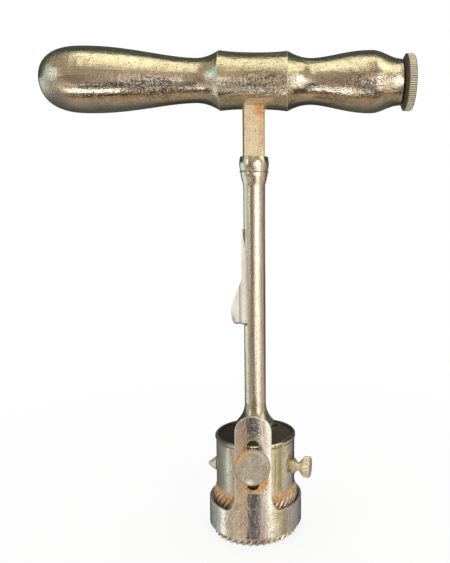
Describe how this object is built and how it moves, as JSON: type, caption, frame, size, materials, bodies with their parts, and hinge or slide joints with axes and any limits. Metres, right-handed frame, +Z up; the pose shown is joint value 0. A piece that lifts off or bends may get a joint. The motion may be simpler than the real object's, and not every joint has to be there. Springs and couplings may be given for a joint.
{
  "type": "trepan",
  "caption": "Hand trepan with a cross handle, a hollow shaft with a sliding centre pin, a removable fluted crown saw and a sliding depth guard locked by a thumbscrew.",
  "frame": {"origin": "on the shaft's axis, in the plane of the teeth's tips, at the open end of the crown", "axes": "+Z up the shaft to the handle, +X along the handle to the clamp knob, -Y out of the guard's thumbscrew"},
  "size_m": [0.1053, 0.0329, 0.1417],
  "materials": {
    "handle_plating": "worn satin nickel plating",
    "knob_plating": "worn nickel plating over milled brass",
    "tang_bare": "bare, yellowed satin steel",
    "shaft_plating": "worn satin nickel plating",
    "catch_plating": "bright nickel plating",
    "head_plating": "dull, tarnished nickel plating",
    "crown_plating": "tarnished nickel plating, rusty at the flutes",
    "guard_plating": "spotted nickel plating, rusty round the slot",
    "screw_plating": "worn nickel plating",
    "washer_bare": "bare, rusty steel",
    "pin_steel": "polished bare steel",
    "bush_brass": "turned brass"
  },
  "bodies": {
    "instrument": {"left_grip": "handle_plating", "handle_barrel": "handle_plating", "right_grip": "handle_plating", "grip_bush": "bush_brass", "shank_tang": "tang_bare", "shank_collar": "shaft_plating", "shaft": "shaft_plating", "crown_head": "head_plating", "crown": "crown_plating", "crown_stud": "screw_plating", "guard_boss": "head_plating"},
    "pad": {"clamp_pad": "bush_brass"},
    "clamp": {"clamp_screw": "pin_steel", "clamp_knob": "knob_plating"},
    "catch": {"catch_spring": "catch_plating", "catch_fin": "catch_plating", "catch_nib": "pin_steel", "catch_rivet": "pin_steel"},
    "pin": {"centre_pin": "pin_steel", "centre_point": "pin_steel"},
    "guard": {"guard": "guard_plating"},
    "washer": {"guard_washer": "washer_bare"},
    "guard_lock": {"guard_screw": "screw_plating"},
    "seat": {"crown_seat": "screw_plating"},
    "crown_lock": {"crown_screw": "screw_plating"}
  },
  "joints": [
    {"name": "pad_slide", "type": "slide", "parent": "instrument", "child": "pad", "axis": [1, 0, 0], "range_m": [0, 0.0021]},
    {"name": "clamp_turn", "type": "hinge", "parent": "pad", "child": "clamp", "pos_m": [0, 0, 0.1326], "axis": [1, 0, 0], "range_deg": [0, 1080]},
    {"name": "catch_press", "type": "hinge", "parent": "instrument", "child": "catch", "pos_m": [-0.00345, 0, 0.0908], "axis": [0, 1, 0], "range_deg": [0, 1], "stiffness_Nm_per_rad": 2, "springref_deg": -0.57},
    {"name": "pin_slide", "type": "slide", "parent": "instrument", "child": "pin", "axis": [0, 0, -1], "range_m": [0, 0.018]},
    {"name": "guard_slide", "type": "slide", "parent": "instrument", "child": "guard", "axis": [0, 0, 1], "range_m": [-0.0046, 0.0064]},
    {"name": "washer_slide", "type": "slide", "parent": "instrument", "child": "washer", "axis": [0, -1, 0], "range_m": [0, 0.0009]},
    {"name": "guard_turn", "type": "hinge", "parent": "washer", "child": "guard_lock", "pos_m": [0, 0, 0.026], "axis": [0, -1, 0], "range_deg": [0, 720]},
    {"name": "seat_slide", "type": "slide", "parent": "instrument", "child": "seat", "axis": [0.9781, -0.2079, 0], "range_m": [0, 0.0009]},
    {"name": "crown_turn", "type": "hinge", "parent": "seat", "child": "crown_lock", "pos_m": [0, 0, 0.0197], "axis": [0.9781, -0.2079, 0], "range_deg": [0, 720]}
  ],
  "couplings": [
    {"joint": "clamp_turn", "follows": "pad_slide", "rad_per_m": 8976},
    {"joint": "guard_turn", "follows": "washer_slide", "rad_per_m": 13963},
    {"joint": "crown_turn", "follows": "seat_slide", "rad_per_m": 13963}
  ]
}
